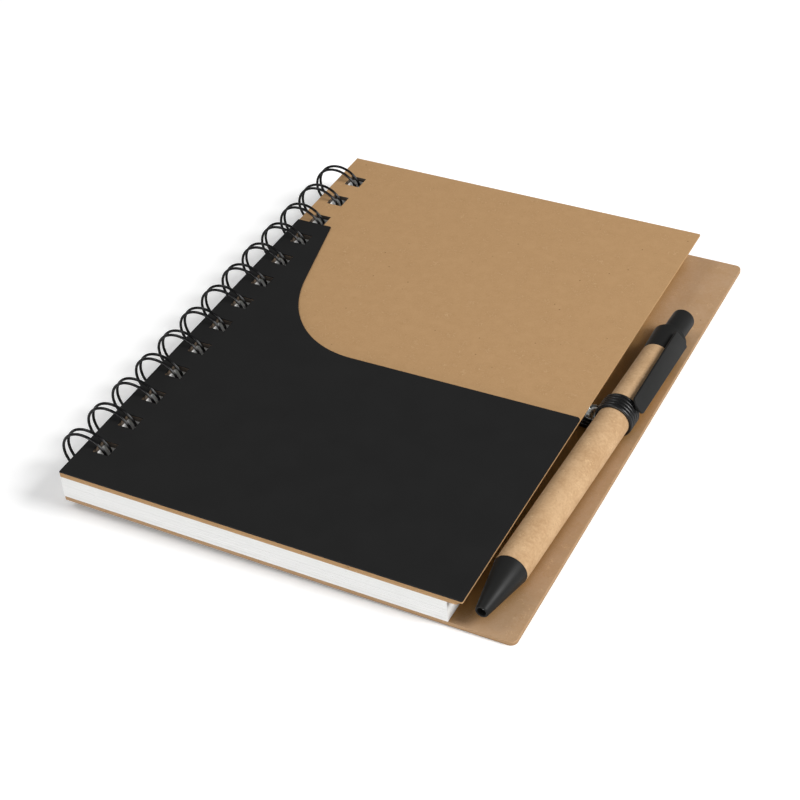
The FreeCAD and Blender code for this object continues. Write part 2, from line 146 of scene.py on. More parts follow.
class NotebookColours(bpy.types.PropertyGroup):
    """Colours as they look in plain light."""

    kraft: tint("Kraft board", "Colour of the covers' kraft board", (0.715, 0.57, 0.405))
    kraft_inside: tint("Kraft inside", "Colour of the back board's inner face", (0.70, 0.575, 0.45))
    kraft_shade: tint("Kraft shade", "Darker clouds in the kraft board", (0.655, 0.51, 0.345))
    tube: tint("Pen tube", "Colour of the pen's kraft tube", (0.77, 0.638, 0.488))
    tube_shade: tint("Pen tube shade", "Darker clouds in the pen's tube", (0.675, 0.537, 0.385))
    fleck: tint("Flecks", "Dark flecks in the kraft paper", (0.45, 0.33, 0.2))
    fibre: tint("Fibres", "Pale fibres in the kraft paper", (0.84, 0.71, 0.55))
    # Painted shade: a darker brown painted into the back board where pen and pages close it in
    painted_nook_shade: tint("Painted nook shade", "Colour of the back board between pen and pages", (0.54, 0.39, 0.19))
    # Painted shade: a dark grey painted into the walls of the binding holes
    painted_hole_shade: tint("Painted hole shade", "Colour of the walls of the binding holes", (0.34, 0.31, 0.28))
    card: tint("Black card", "Colour of the black card panel", (0.115, 0.115, 0.115))
    paper: tint("Pages", "Colour of the pages", (0.95, 0.95, 0.945))
    wire: tint("Wire coating", "Colour of the wire's coating", (0.03, 0.03, 0.033))
    plastic: tint("Black plastic", "Colour of the pen's moulded pieces", (0.113, 0.113, 0.111))
    elastic: tint("Elastic", "Colour of the elastic's yarn", (0.02, 0.02, 0.024))
    rivet: tint("Rivet", "Colour of the rivet's metal", (0.82, 0.84, 0.84))
    cam: tint("Cam", "Colour of the white plastic inside the pen", (0.9, 0.9, 0.88))
    ink_tube: tint("Ink tube", "Colour of the refill's clear tube", (0.82, 0.86, 0.9))
    brass: tint("Brass", "Colour of the writing tip", (0.85, 0.68, 0.35))
    ball: tint("Ball", "Colour of the writing ball's steel", (0.7, 0.7, 0.72))
    spring: tint("Spring", "Colour of the spring's steel", (0.66, 0.66, 0.68))


def sizes():
    return bpy.context.scene.notebook_sizes


def colours():
    return bpy.context.scene.notebook_colours


def linear(colour):
    """Scene-linear colour and alpha of a display colour."""
    return (*Color(colour[:3]).from_srgb_to_scene_linear(), 1.0)


# Nodes

def add_node(tree, kind, inputs=None, **settings):
    """A node with its settings. Each input takes a value, or a socket that is linked to it."""
    made = tree.nodes.new(kind)
    for name, value in settings.items():
        setattr(made, name, value)
    for name, value in (inputs or {}).items():
        if isinstance(value, bpy.types.NodeSocket):
            tree.links.new(value, made.inputs[name])
        else:
            made.inputs[name].default_value = value
    return made


def work_out(tree, operation, *values):
    return add_node(
        tree, "ShaderNodeMath", dict(enumerate(values)), operation=operation).outputs[0]


def times(tree, first, second):
    return work_out(tree, "MULTIPLY", first, second)


def spread(tree, value, low, high, to_low=0.0, to_high=1.0):
    """Map a value's range to another, clamped."""
    return add_node(tree, "ShaderNodeMapRange", {
        "Value": value, "From Min": low, "From Max": high,
        "To Min": to_low, "To Max": to_high}).outputs["Result"]


def blend_colours(tree, share, first, second):
    return add_node(
        tree, "ShaderNodeMix", {0: share, 6: first, 7: second}, data_type="RGBA").outputs[2]


def clouds(tree, position, scale, detail=3.0, roughness=0.6, distortion=0.0):
    return add_node(tree, "ShaderNodeTexNoise", {
        "Vector": position, "Scale": scale, "Detail": detail,
        "Roughness": roughness, "Distortion": distortion}).outputs["Fac"]


def new_group(name, inputs, outputs):
    """An empty shader node group, with its inner input and output nodes.

    An input has a kind of socket, or the default value of a number."""
    tree = bpy.data.node_groups.new(name, "ShaderNodeTree")
    for label, given in inputs.items():
        kind = given if isinstance(given, str) else "Float"
        socket = tree.interface.new_socket(name=label, in_out="INPUT", socket_type="NodeSocket" + kind)
        if kind is not given:
            socket.default_value = given
    for label, kind in outputs.items():
        tree.interface.new_socket(name=label, in_out="OUTPUT", socket_type="NodeSocket" + kind)
    return tree, tree.nodes.new("NodeGroupInput").outputs, tree.nodes.new("NodeGroupOutput").inputs


def paper_pulp_group():
    """Kraft paper: soft clouds, pale fibres and dark flecks."""
    tree, given, result = new_group(
        "Paper Pulp",
        {"Position": "Vector", "Pulp": "Color", "Shade": "Color", "Fibre": "Color",
         "Fleck": "Color", "Cloud Scale": 60.0, "Cloud Share": 0.5, "Fibre Share": 0.3,
         "Fleck Share": 0.5},
        {"Color": "Color", "Height": "Float"})
    position = given["Position"]
    broad = clouds(tree, position, given["Cloud Scale"], detail=2.0)
    fine = clouds(tree, position, times(tree, given["Cloud Scale"], 9.0), detail=5.0)
    mixed = work_out(tree, "MULTIPLY_ADD", fine, 0.55, times(tree, broad, 0.45))
    shade = times(tree, spread(tree, mixed, 0.38, 0.62), given["Cloud Share"])
    colour = blend_colours(tree, shade, given["Pulp"], given["Shade"])
    # A fibre is where a swirling field passes its middle value, broken up into short lengths
    strands = []
    for scale, gap_scale, offset in ((520.0, 260.0, 0.0), (430.0, 230.0, 3.7)):
        moved = add_node(tree, "ShaderNodeVectorMath", {0: position, 1: (offset, offset, offset)},
                         operation="ADD").outputs[0]
        field = clouds(tree, moved, scale, detail=1.0, distortion=1.4)
        off_middle = work_out(tree, "ABSOLUTE", work_out(tree, "SUBTRACT", field, 0.5))
        strand = spread(tree, off_middle, 0.004, 0.035, 1.0, 0.0)
        lengths = spread(tree, clouds(tree, moved, gap_scale, detail=2.0), 0.55, 0.62)
        strands.append(times(tree, strand, lengths))
    # The second set of strands are dark fibres
    fibre, dark_fibre = strands
    colour = blend_colours(tree, times(tree, fibre, given["Fibre Share"]), colour, given["Fibre"])
    dimmed = times(tree, times(tree, dark_fibre, given["Fibre Share"]), 1.4)
    colour = blend_colours(tree, dimmed, colour, given["Shade"])
    # A fleck is the middle of a cell, in the few cells whose own random value is right
    cells = add_node(tree, "ShaderNodeTexVoronoi", {"Vector": position, "Scale": 420.0})
    near = spread(tree, cells.outputs["Distance"], 0.06, 0.13, 1.0, 0.0)
    chosen = add_node(tree, "ShaderNodeSeparateColor", {"Color": cells.outputs["Color"]})
    rare = spread(tree, chosen.outputs["Red"], 0.91, 0.93)
    fleck = times(tree, times(tree, near, rare), given["Fleck Share"])
    colour = blend_colours(tree, fleck, colour, given["Fleck"])
    tree.links.new(colour, result["Color"])
    grain = clouds(tree, position, 2600.0, detail=3.0)
    height = work_out(tree, "ADD", times(tree, grain, 0.6), times(tree, fibre, 0.5))
    tree.links.new(height, result["Height"])
    return tree


def fine_grain_group():
    """Small grain for a bump, and a roughness that drifts a little over the surface."""
    tree, given, result = new_group(
        "Fine Grain",
        {"Position": "Vector", "Grain Scale": 3000.0, "Drift Scale": 90.0, "Low": 0.4,
         "High": 0.5},
        {"Height": "Float", "Roughness": "Float", "Drift": "Float"})
    grain = clouds(tree, given["Position"], given["Grain Scale"], detail=2.0)
    drift = clouds(tree, given["Position"], given["Drift Scale"], detail=4.0)
    even = spread(tree, drift, 0.3, 0.7)
    between = work_out(tree, "SUBTRACT", given["High"], given["Low"])
    tree.links.new(grain, result["Height"])
    tree.links.new(work_out(tree, "MULTIPLY_ADD", even, between, given["Low"]),
                   result["Roughness"])
    tree.links.new(even, result["Drift"])
    return tree


def group_once(name, build):
    return bpy.data.node_groups.get(name) or build()


def new_material(name, fixed):
    """A material with one Principled BSDF, whose constant inputs are set on its own sockets."""
    material = bpy.data.materials.new(name)
    material.use_nodes = True
    tree = material.node_tree
    shader = tree.nodes["Principled BSDF"]
    for label, value in fixed.items():
        shader.inputs[label].default_value = value
    position = add_node(tree, "ShaderNodeTexCoord").outputs["Object"]
    return material, tree, shader, position


def add_bump(tree, shader, height, depth):
    bump = add_node(tree, "ShaderNodeBump", {
        "Height": height, "Distance": depth, "Strength": 1.0})
    tree.links.new(bump.outputs["Normal"], shader.inputs["Normal"])


def kraft_finish(name, pulp, shade, cloud_scale, cloud_share, fibre_share, fleck_share):
    material, tree, shader, position = new_material(name, {
        "Roughness": 0.82, "Specular IOR Level": 0.25})
    paper = add_node(tree, "ShaderNodeGroup", node_tree=group_once("Paper Pulp", paper_pulp_group))
    tree.links.new(position, paper.inputs["Position"])
    given = {
        "Pulp": linear(pulp), "Shade": linear(shade), "Fibre": linear(colours().fibre),
        "Fleck": linear(colours().fleck), "Cloud Scale": cloud_scale, "Cloud Share": cloud_share,
        "Fibre Share": fibre_share, "Fleck Share": fleck_share}
    for label, value in given.items():
        paper.inputs[label].default_value = value
    tree.links.new(paper.outputs["Color"], shader.inputs["Base Color"])
    add_bump(tree, shader, paper.outputs["Height"], depth=0.00003)
    return material


def grained_finish(name, colour, roughness, grain_scale, depth, lift, fixed=None):
    """A plain coloured finish with fine grain, used for card, plastic, coating and metal.

    Over the surface the roughness drifts between two values, and the colour up to its lift."""
    material, tree, shader, position = new_material(name, fixed or {})
    low, high = roughness
    grain = add_node(tree, "ShaderNodeGroup", {
        "Position": position, "Grain Scale": grain_scale, "Low": low, "High": high},
        node_tree=group_once("Fine Grain", fine_grain_group))
    base = linear(colour)
    lifted = (*[min(1.0, channel * lift) for channel in base[:3]], 1.0)
    tree.links.new(blend_colours(tree, grain.outputs["Drift"], base, lifted),
                   shader.inputs["Base Color"])
    tree.links.new(grain.outputs["Roughness"], shader.inputs["Roughness"])
    add_bump(tree, shader, grain.outputs["Height"], depth)
    return material


def metal_finish(name, colour, roughness, depth):
    return grained_finish(name, colour, roughness, grain_scale=4000.0, depth=depth, lift=1.1,
                          fixed={"Metallic": 1.0})


def recolour(material, mask, colour):
    """Take a finished material's colour to another where a mask is 1."""
    tree = material.node_tree
    base = tree.nodes["Principled BSDF"].inputs["Base Color"]
    plain = base.links[0].from_socket
    tree.links.new(blend_colours(tree, mask, plain, linear(colour)), base)


def page_finish():
    """White paper. Each leaf has its own slight tone, so the stack's edge shows its leaves."""
    tones_per_metre = 9000.0
    darkest = 0.93
    material, tree, shader, position = new_material("Page Paper", {
        "Roughness": 0.85, "Specular IOR Level": 0.2})
    parts = add_node(tree, "ShaderNodeSeparateXYZ", {"Vector": position})
    leaf = work_out(tree, "FLOOR", times(tree, parts.outputs["Z"], tones_per_metre))
    tone = add_node(tree, "ShaderNodeTexWhiteNoise", {"W": leaf}, noise_dimensions="1D")
    base = linear(colours().paper)
    darker = (*[channel * darkest for channel in base[:3]], 1.0)
    tree.links.new(blend_colours(tree, tone.outputs["Value"], base, darker),
                   shader.inputs["Base Color"])
    add_bump(tree, shader, clouds(tree, position, 3000.0), depth=0.00002)
    return material


# Meshes

def mesh_from(name, body):
    """A mesh from one under construction, which is freed."""
    mesh = bpy.data.meshes.new(name)
    body.to_mesh(mesh)
    body.free()
    return mesh


def link_object(name, data):
    made = bpy.data.objects.new(name, data)
    bpy.context.scene.collection.objects.link(made)
    return made


def turned(profile, steps):
    """A closed body of revolution about +Y from (station, radius) corners."""
    body = bmesh.new()
    corners = [body.verts.new((radius, station, 0)) for station, radius in profile]
    edges = [body.edges.new(pair) for pair in zip(corners, corners[1:] + corners[:1])]
    on_axis = [edge for edge in edges
               if all(abs(corner.co.x) < MERGE_DISTANCE for corner in edge.verts)]
    bmesh.ops.delete(body, geom=on_axis, context="EDGES_FACES")
    bmesh.ops.spin(body, geom=body.verts[:] + body.edges[:], cent=ORIGIN, axis=Y_AXIS,
                   angle=2 * math.pi, steps=steps, use_merge=True)
    bmesh.ops.remove_doubles(body, verts=body.verts, dist=MERGE_DISTANCE)
    bmesh.ops.recalc_face_normals(body, faces=body.faces)
    return body


def soften(body, width, segments=2, sharper_than=30.0, where=None):
    """Bevel the sharp edges, or those of them that the test picks."""
    sharp = [edge for edge in body.edges
             if len(edge.link_faces) == 2
             and edge.calc_face_angle() > math.radians(sharper_than)
             and (where is None or where(edge))]
    bmesh.ops.bevel(body, geom=sharp, offset=width, offset_type="OFFSET", segments=segments,
                    profile=0.5, affect="EDGES", material=-1, clamp_overlap=True)


def at_station(station):
    """A test for the ring of edges at one station of a turned body."""
    def is_there(edge):
        return all(abs(corner.co.y - station) < MERGE_DISTANCE for corner in edge.verts)
    return is_there


def pen_tip():
    return barrel_middle - pen_way * (sizes().nose_length + barrel_length / 2)


def on_pen(body):
    """Take what is drawn along +Y from the pen's tip to its place in the frame."""
    place = Matrix.Translation(pen_tip()) @ Matrix.Rotation(-pen_yaw, 4, "Z")
    bmesh.ops.transform(body, matrix=place, verts=body.verts)
    return body


def merged_copy(node):
    """A node's mesh with its loose triangles merged."""
    body = bmesh.new()
    body.from_mesh(frame["nodes"][node].data)
    bmesh.ops.remove_doubles(body, verts=body.verts, dist=MERGE_DISTANCE)
    bmesh.ops.recalc_face_normals(body, faces=body.faces)
    return body


def flat_copy(node):
    """A node's mesh with its flat faces whole."""
    body = merged_copy(node)
    bmesh.ops.dissolve_limit(body, angle_limit=math.radians(1), verts=body.verts,
                             edges=body.edges)
    return body


def layer_of(node, bottom, top):
    """A node's flat copy, squeezed to the part of its thickness between two shares."""
    low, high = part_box(node)
    thickness = high.z - low.z
    body = flat_copy(node)
    bmesh.ops.translate(body, verts=body.verts, vec=(0, 0, -low.z))
    squeeze = Matrix.Scale(top - bottom, 4, Z_AXIS)
    bmesh.ops.transform(body, matrix=squeeze, verts=body.verts)
    bmesh.ops.translate(body, verts=body.verts, vec=(0, 0, low.z + bottom * thickness))
    return body


def add_body(whole, part):
    """Add a mesh under construction to another, and free it."""
    mesh = mesh_from("part", part)
    whole.from_mesh(mesh)
    bpy.data.meshes.remove(mesh)


def tighten_corners(body, x, half_height, reach, share):
    """Shrink the rounding of the two corners at x, out to its reach, to a share of its radius."""
    for y in (-half_height, half_height):
        corner = Vector((x, y, 0))
        rounding = [vert for vert in body.verts if (vert.co.xy - corner.xy).length < reach]
        bmesh.ops.scale(body, vec=(share, share, 1), space=Matrix.Translation(-corner),
                        verts=rounding)


def set_piece(name, body, node, material, smooth_below=35.0, sheet=False):
    """Make the visible piece, which stands for its node and moves with the node's body.

    The level faces of a sheet are shaded apart from its softened edges."""
    body.normal_update()
    for face in body.faces:
        face.smooth = True
    for edge in body.edges:
        level = sheet and any(abs(face.normal.z) > LEVEL_NORMAL for face in edge.link_faces)
        edge.smooth = not level and edge.calc_face_angle(0.0) < math.radians(smooth_below)
    piece = link_object(name, mesh_from(name, body))
    piece.data.materials.append(material)
    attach(piece, frame["nodes"][node]["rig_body"])
    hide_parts(node)
    return piece


# Pieces

class MakeCovers(bpy.types.Operator):
    """Make the kraft boards and the black card panel with softened cut edges"""

    bl_idname = "notebook.make_covers"
    bl_label = "Covers"

    liner_share: factor(
        "Liner share", "Share of the front cover's thickness below its board", 0.62, 0.1, 0.9)
    liner_inset: metres("Liner inset", "How far the liner stays back at the fore-edge", 0.0013)
    hole_start: metres("Hole start", "Distance from the spine edge to the binding holes", 0.00384)
    hole_size: metres("Hole size", "Side of the square binding holes", 0.0055)
    hole_reach: metres("Hole reach", "Distance from the middle of the row to its end", 0.08)
    # Painted shade: reach of the ambient occlusion that paints the back board darker in its nooks
    nook_shade_reach: metres("Nook shade reach", "How near other pieces are for the back board to deepen", 0.012)
    corner_radius: metres("Corner radius", "Radius of the packed model's front corners", 0.001)
    corner_share: factor("Corner share", "Share of that radius that is kept", 0.5, 0.1)

    def execute(self, context):
        board = kraft_finish(
            "Kraft Board", colours().kraft, colours().kraft_shade, cloud_scale=260.0,
            cloud_share=0.5, fibre_share=0.3, fleck_share=0.8)
        inside = kraft_finish(
            "Kraft Board Inside", colours().kraft_inside, colours().kraft_shade,
            cloud_scale=160.0, cloud_share=0.5, fibre_share=0.35, fleck_share=0.7)
        card = grained_finish(
            "Black Card", colours().card, roughness=(0.52, 0.62), grain_scale=2600.0,
            depth=0.00001, lift=1.12, fixed={"Specular IOR Level": 0.14})
        low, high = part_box("front_cover")
        # Painted shade: the hole walls and the back board's nooks are darkened in their colours
        self.paint_hole_walls_shade(board, low, high)
        self.paint_nook_shade(inside)
        # A little more than the radius, so that the ends of the rounding are taken too
        corner_reach = self.corner_radius * 1.05
        liner = layer_of("front_cover", 0.0, self.liner_share)
        fore_edge = [vert for vert in liner.verts if vert.co.x > high.x - self.corner_radius * 2]
        bmesh.ops.translate(liner, verts=fore_edge, vec=(-self.liner_inset, 0, 0))
        soften(liner, sizes().board_edge)
        front = layer_of("front_cover", self.liner_share, 1.0)
        tighten_corners(front, high.x, high.y, corner_reach, self.corner_share)
        soften(front, sizes().board_edge)
        add_body(front, liner)
        set_piece("front_board", front, "front_cover", board, sheet=True)
        back = flat_copy("back_cover")
        soften(back, sizes().board_edge)
        set_piece("back_board", back, "back_cover", inside, sheet=True)
        panel = flat_copy("cover_panel")
        tighten_corners(panel, high.x, high.y, corner_reach, self.corner_share)
        soften(panel, sizes().card_edge)
        set_piece("card_panel", panel, "cover_panel", card, sheet=True)
        return {"FINISHED"}

    def paint_nook_shade(self, material):
        """Paint shade into the board's colour, a darker brown, where other pieces close it in."""
        tree = material.node_tree
        openness = add_node(tree, "ShaderNodeAmbientOcclusion", {"Distance": self.nook_shade_reach},
                            samples=8).outputs["AO"]
        # Painted shade: the less open the board is, the more of the darker nook colour it takes
        recolour(material, spread(tree, openness, 0.3, 0.56, 1.0, 0.0), colours().painted_nook_shade)

    def paint_hole_walls_shade(self, material, low, high):
        """Paint a dark grey shade into the walls of the binding holes."""
        tree = material.node_tree
        position = add_node(tree, "ShaderNodeTexCoord").outputs["Object"]
        parts = add_node(tree, "ShaderNodeSeparateXYZ", {"Vector": position}).outputs
        margin = sizes().board_edge / 3
        inside = self.hole_size / 2
        row = work_out(tree, "COMPARE", parts["X"], low.x + self.hole_start + inside,
                       inside + margin)
        along = work_out(tree, "COMPARE", parts["Y"], 0.0, self.hole_reach)
        deep = work_out(tree, "COMPARE", parts["Z"], (low.z + high.z) / 2,
                        (high.z - low.z) / 2 - margin)
        shaded_walls = times(tree, times(tree, row, along), deep)
        # Painted shade: the hole walls take the dark grey
        recolour(material, shaded_walls, colours().painted_hole_shade)


class MakePages(bpy.types.Operator):
    """Make the block of pages as a stack of leaves"""

    bl_idname = "notebook.make_pages"
    bl_label = "Pages"

    def execute(self, context):
        low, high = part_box("page_block")
        count = sizes().leaf_count
        slip = sizes().leaf_slip
        trimmed = Vector((1 - 2 * slip / (high.x - low.x), 1 - 2 * slip / (high.y - low.y), 1))
        middle = Matrix.Translation((-(low.x + high.x) / 2, -(low.y + high.y) / 2, 0))
        chance = random.Random(7)
        gap = 0.03
        stack = bmesh.new()
        for number in range(count):
            leaf = layer_of("page_block", (number + gap) / count, (number + 1 - gap) / count)
            bmesh.ops.scale(leaf, vec=trimmed, space=middle, verts=leaf.verts)
            moved = (chance.uniform(-slip, slip), chance.uniform(-slip, slip), 0)
            bmesh.ops.translate(leaf, verts=leaf.verts, vec=moved)
            add_body(stack, leaf)
        set_piece("page_stack", stack, "page_block", page_finish(), sheet=True)
        return {"FINISHED"}


class MakeWire(bpy.types.Operator):
    """Make the binding wire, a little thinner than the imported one, with its glossy coating"""

    bl_idname = "notebook.make_wire"
    bl_label = "Wire"

    thinning: metres("Thinning", "How far the wire's surface lies inside the packed one", 0.00007)

    def execute(self, context):
        wire = merged_copy("wire_binding")
        wire.normal_update()
        inward = [(vert, vert.normal * self.thinning) for vert in wire.verts]
        for vert, step in inward:
            vert.co -= step
        coating = grained_finish(
            "Wire Coating", colours().wire, roughness=(0.16, 0.24), grain_scale=1800.0,
            depth=0.000003, lift=1.3, fixed={"Specular IOR Level": 0.35})
        set_piece("wire", wire, "wire_binding", coating, smooth_below=60.0)
        return {"FINISHED"}


def rib_profile(width, thickness, ribs, turns=7):
    """The strip's cross-section as (across, out) points: flat inside, one swell a rib outside."""
    rib = width / ribs
    swell = min(rib / 2, thickness / 2)
    points = [(width, 0.0), (0.0, 0.0)]
    for number in range(ribs):
        for turn in range(turns):
            angle = math.pi * (turn + 0.5) / turns
            across = rib * (number + 0.5) - rib / 2 * math.cos(angle)
            points.append((across, thickness - swell + swell * math.sin(angle)))
    return points


class MakeElastic(bpy.types.Operator):
    """Make the ribbed elastic: one strip under the pen, round it, and back over itself"""

    bl_idname = "notebook.make_elastic"
    bl_label = "Elastic loop"

    blend_radius: metres("Blend radius", "Radius of the bend from the loop into the tail", 0.002)
    clearance: metres("Clearance", "Gap between the elastic and the pen", 0.00003)
    tail_spread: factor("Tail spread", "How much wider the tail's end is than the loop", 0.55)

    def execute(self, context):
        thickness = sizes().band_thickness
        inner = barrel_radius + self.clearance
        outer = inner + thickness
        shelf = -outer + 2 * thickness
        reach = outer + self.blend_radius
        turn_height = shelf + self.blend_radius
        turn_x = -math.sqrt(reach ** 2 - turn_height ** 2)
        lean = math.atan2(-turn_height, -turn_x)
        loop_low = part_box("pen_loop")[0]
        at_band = pen_tip() + pen_way * (sizes().band_station + sizes().band_width / 2)
        tail_end = loop_low.x - at_band.x
        profile = rib_profile(sizes().band_width, thickness, sizes().band_ribs)
        strip = bmesh.new()
        corners = [strip.verts.new((tail_end, across, -inner - out)) for across, out in profile]
        start = strip.faces.new(corners)
        end = self.run_on(strip, start, -tail_end, steps=8)
        end = self.bend_on(strip, end, ORIGIN, -(3 * math.pi / 2 + lean), steps=72)
        turn_middle = Vector((turn_x, 0, turn_height))
        end = self.bend_on(strip, end, turn_middle, math.pi / 2 + lean, steps=18)
        self.run_on(strip, end, tail_end - turn_x, steps=6)
        bmesh.ops.recalc_face_normals(strip, faces=strip.faces)
        for corner in strip.verts:
            out = max(0.0, min(1.0, (corner.co.x - turn_x) / (tail_end - turn_x)))
            corner.co.y += corner.co.y * self.tail_spread * out
        bmesh.ops.translate(strip, verts=strip.verts, vec=(0, sizes().band_station, 0))
        on_pen(strip)
        yarn = grained_finish(
            "Elastic Yarn", colours().elastic, roughness=(0.28, 0.4), grain_scale=5200.0,
            depth=0.00002, lift=1.6, fixed={"Specular IOR Level": 0.45})
        set_piece("elastic_loop", strip, "pen_loop", yarn, smooth_below=50.0)
        return {"FINISHED"}

    def run_on(self, strip, face, distance, steps):
        """Draw the strip's open end on along X, and return its new end."""
        for _ in range(steps):
            made = bmesh.ops.extrude_face_region(strip, geom=[face])
            moved = [item for item in made["geom"] if isinstance(item, bmesh.types.BMVert)]
            end = next(item for item in made["geom"] if isinstance(item, bmesh.types.BMFace))
            bmesh.ops.translate(strip, verts=moved, vec=(distance / steps, 0, 0))
            if face.is_valid:
                bmesh.ops.delete(strip, geom=[face], context="FACES_ONLY")
            face = end
        return face

    def bend_on(self, strip, face, middle, angle, steps):
        """Bend the strip's open end on about a middle, and return its new end."""
        made = bmesh.ops.spin(strip, geom=[face, *face.edges, *face.verts], cent=middle,
                              axis=Y_AXIS, angle=angle, steps=steps)
        end = next(item for item in made["geom_last"] if isinstance(item, bmesh.types.BMFace))
        if face.is_valid:
            bmesh.ops.delete(strip, geom=[face], context="FACES_ONLY")
        return end


def arc_points(middle_radius, middle_height, radius, start, end, steps):
    """(radius, height) points of an arc between two angles in degrees."""
    points = []
    for step in range(steps + 1):
        angle = math.radians(start + (end - start) * step / steps)
        points.append((middle_radius + radius * math.cos(angle),
                       middle_height + radius * math.sin(angle)))
    return points


class MakeRivet(bpy.types.Operator):
    """Make the bright rivet: a rolled rim, a groove and a dome"""

    bl_idname = "notebook.make_rivet"
    bl_label = "Rivet"

    rim_width: metres("Rim width", "Width of the rolled rim", 0.0006)
    dome_radius: metres("Dome radius", "Radius of the dome inside the groove", 0.0025)
    groove_height: metres("Groove height", "Height of the groove's floor over the seat", 0.00035)
    dome_height: metres("Dome height", "Height of the dome over the seat", 0.0013)
    post_radius: metres("Post radius", "Radius of the post through elastic and board", 0.0016)
    foot_radius: metres("Foot radius", "Radius of the foot under the board", 0.0028)
    foot_height: metres("Foot height", "Height of the foot under the board", 0.00035)

    def execute(self, context):
        low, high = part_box("loop_rivet")
        head = (high.x - low.x) / 2
        seat = high.z - self.dome_height
        groove = seat + self.groove_height
        foot_top = low.z + self.foot_height
        rise = high.z - groove
        ball = (self.dome_radius ** 2 + rise ** 2) / (2 * rise)
        edge_angle = math.degrees(math.asin((ball - rise) / ball))
        rim = self.rim_width / 2
        outline = [(0.0, low.z), (self.foot_radius, low.z), (self.foot_radius, foot_top),
                   (self.post_radius, foot_top), (self.post_radius, seat), (head, seat)]
        outline += arc_points(head - rim, groove, rim, start=0, end=180, steps=10)
        outline += arc_points(0.0, high.z - ball, ball, start=edge_angle, end=90, steps=10)
        rivet = turned([(height, radius) for radius, height in outline], steps=72)
        soften(rivet, width=0.0001, where=at_station(low.z))
        upright = Matrix.Rotation(math.pi / 2, 4, "X")
        middle = Vector(((low.x + high.x) / 2, (low.y + high.y) / 2, 0))
        bmesh.ops.transform(rivet, matrix=Matrix.Translation(middle) @ upright, verts=rivet.verts)
        bmesh.ops.recalc_face_normals(rivet, faces=rivet.faces)
        metal = metal_finish("Bright Metal", colours().rivet, (0.24, 0.34), depth=0.000004)
        set_piece("rivet", rivet, "loop_rivet", metal, smooth_below=40.0)
        return {"FINISHED"}


class MakePenBarrel(bpy.types.Operator):
    """Make the pen's kraft paper tube"""

    bl_idname = "notebook.make_pen_barrel"
    bl_label = "Pen tube"

    wall: metres("Wall", "Thickness of the tube's wall", 0.001)
    hidden_end: metres("Hidden end", "Length of the tube's end inside the collar", 0.0001)

    def execute(self, context):
        start = sizes().nose_length
        end = sizes().collar_start + self.hidden_end
        tube = turned([(start, barrel_radius - self.wall), (start, barrel_radius),
                       (end, barrel_radius), (end, barrel_radius - self.wall)], steps=96)
        soften(tube, width=0.00012)
        paper = kraft_finish(
            "Kraft Tube", colours().tube, colours().tube_shade, cloud_scale=140.0,
            cloud_share=0.85, fibre_share=0.6, fleck_share=0.3)
        set_piece("pen_tube", on_pen(tube), "pen_barrel", paper)
        return {"FINISHED"}


def black_plastic():
    """The satin black of the pen's moulded pieces."""
    return bpy.data.materials.get("Black Plastic") or grained_finish(
        "Black Plastic", colours().plastic, roughness=(0.4, 0.5), grain_scale=4200.0,
        depth=0.00001, lift=1.15, fixed={"Specular IOR Level": 0.15})


class MakePenNose(bpy.types.Operator):
    """Make the pen's nose cone with its rounded tip"""

    bl_idname = "notebook.make_pen_nose"
    bl_label = "Nose cone"

    tip_radius: metres("Tip radius", "Radius of the cone's small end", 0.00185)
    hole_radius: metres("Hole radius", "Radius of the hole for the writing tip", 0.00125)
    bore_radius: metres("Bore radius", "Radius of the bore for refill and spring", 0.0026)
    shoulder: metres("Shoulder", "Station of the shoulder that the spring rests on", 0.0103)
    spigot_length: metres("Spigot length", "Length of the spigot inside the tube", 0.008)
    spigot_radius: metres("Spigot radius", "Radius of the spigot inside the tube", 0.00388)

    def execute(self, context):
        length = sizes().nose_length
        spigot_end = length + self.spigot_length
        cone = turned([
            (0.0, self.hole_radius), (0.0, self.tip_radius), (length, barrel_radius),
            (length, self.spigot_radius), (spigot_end, self.spigot_radius),
            (spigot_end, self.bore_radius), (self.shoulder, self.bore_radius),
            (self.shoulder, self.hole_radius)], steps=96)
        tip_round = (self.tip_radius - self.hole_radius) * 0.45
        soften(cone, tip_round, segments=4, where=at_station(0.0))
        soften(cone, width=0.0002, segments=3, where=at_station(length))
        set_piece("nose_cone", on_pen(cone), "pen_nose_cone", black_plastic())
        return {"FINISHED"}


